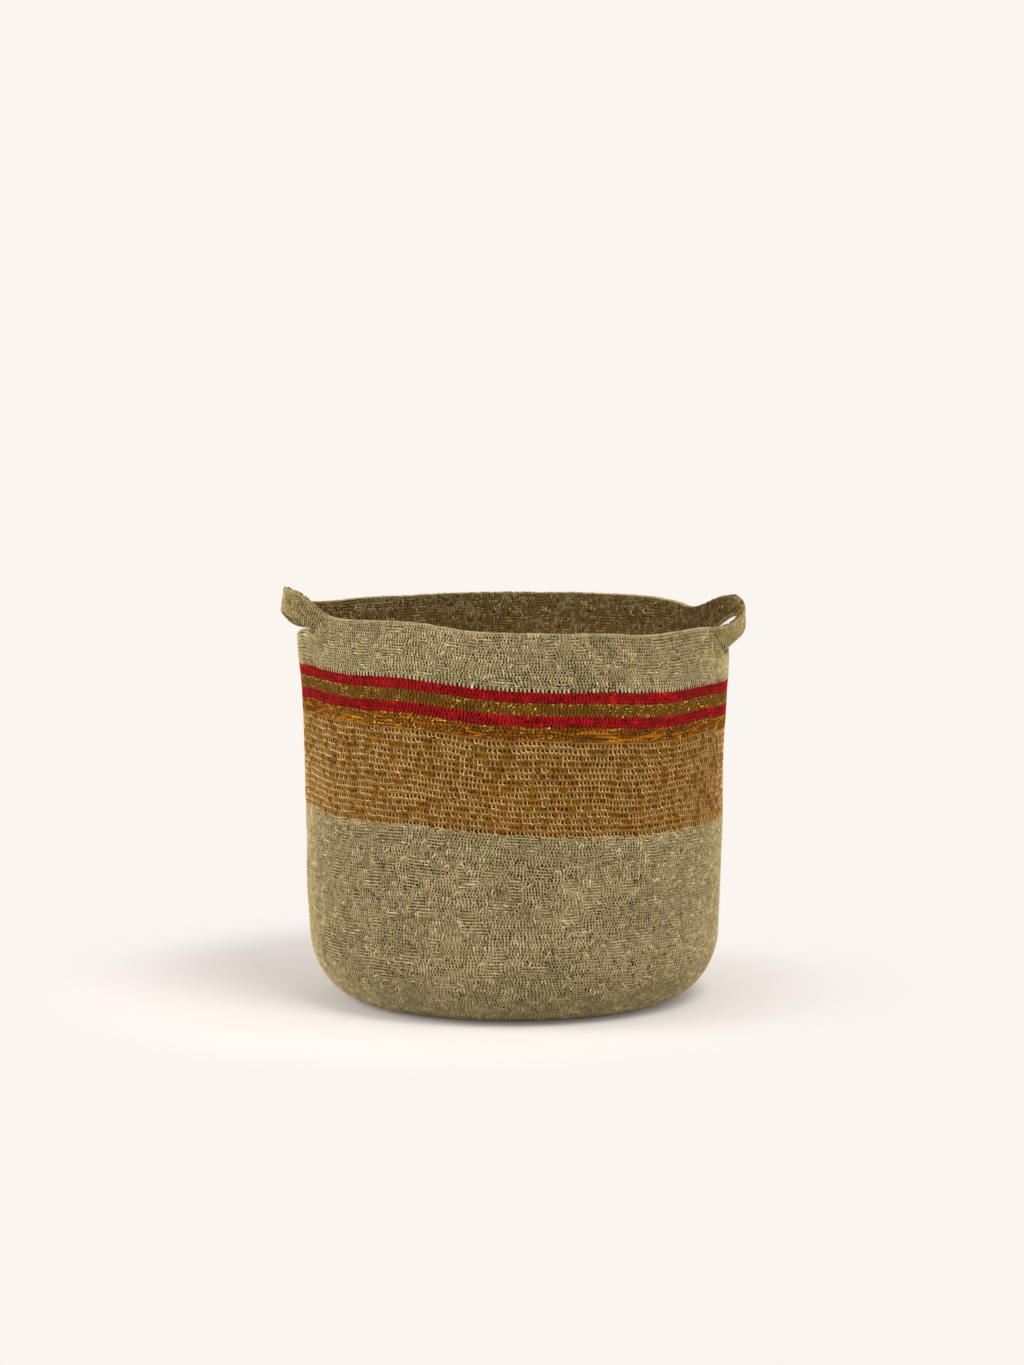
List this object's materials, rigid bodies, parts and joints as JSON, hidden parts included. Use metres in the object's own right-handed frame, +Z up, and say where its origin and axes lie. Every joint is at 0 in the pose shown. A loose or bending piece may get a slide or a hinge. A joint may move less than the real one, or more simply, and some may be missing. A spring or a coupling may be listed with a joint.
{
  "type": "crocheted seagrass basket",
  "caption": "Round crocheted seagrass basket with an open top, a rounded heel, crimson and gold stripes, a brown mixed band and soft strap handles made in one with the rim.",
  "frame": {"origin": "centre of the basket's bottom, on the floor", "axes": "+Z up out of the open top, +X through the middle of the right handle, -Y towards the viewer of the picture"},
  "size_m": [0.4131, 0.383, 0.3679],
  "materials": {
    "natural_cord": "matt natural seagrass, khaki straw with greenish and dark patches",
    "melange_cord": "matt amber-brown seagrass flecked with pale natural strands",
    "amber_cord": "matt dyed amber seagrass with orange flecks",
    "gold_cord": "matt dyed gold seagrass with bright yellow flecks",
    "crimson_cord": "matt dyed crimson seagrass"
  },
  "bodies": {
    "basket": {"base_disc": "natural_cord", "lower_wall": "natural_cord", "melange_band": "melange_cord", "amber_band": "amber_cord", "red_stripe_lower": "crimson_cord", "gold_stripe": "gold_cord", "red_stripe_upper": "crimson_cord", "upper_wall": "natural_cord", "rim_band_front": "natural_cord", "rim_band_back": "natural_cord"},
    "handle_left": {"handle_left": "natural_cord"},
    "handle_right": {"handle_right": "natural_cord"}
  },
  "joints": [
    {"name": "handle_left_lift", "type": "hinge", "parent": "basket", "child": "handle_left", "pos_m": [-0.1641, 0, 0.3356], "axis": [0, 1, 0], "range_deg": [0, 65]},
    {"name": "handle_right_lift", "type": "hinge", "parent": "basket", "child": "handle_right", "pos_m": [0.1641, 0, 0.3258], "axis": [0, -1, 0], "range_deg": [0, 65]}
  ]
}
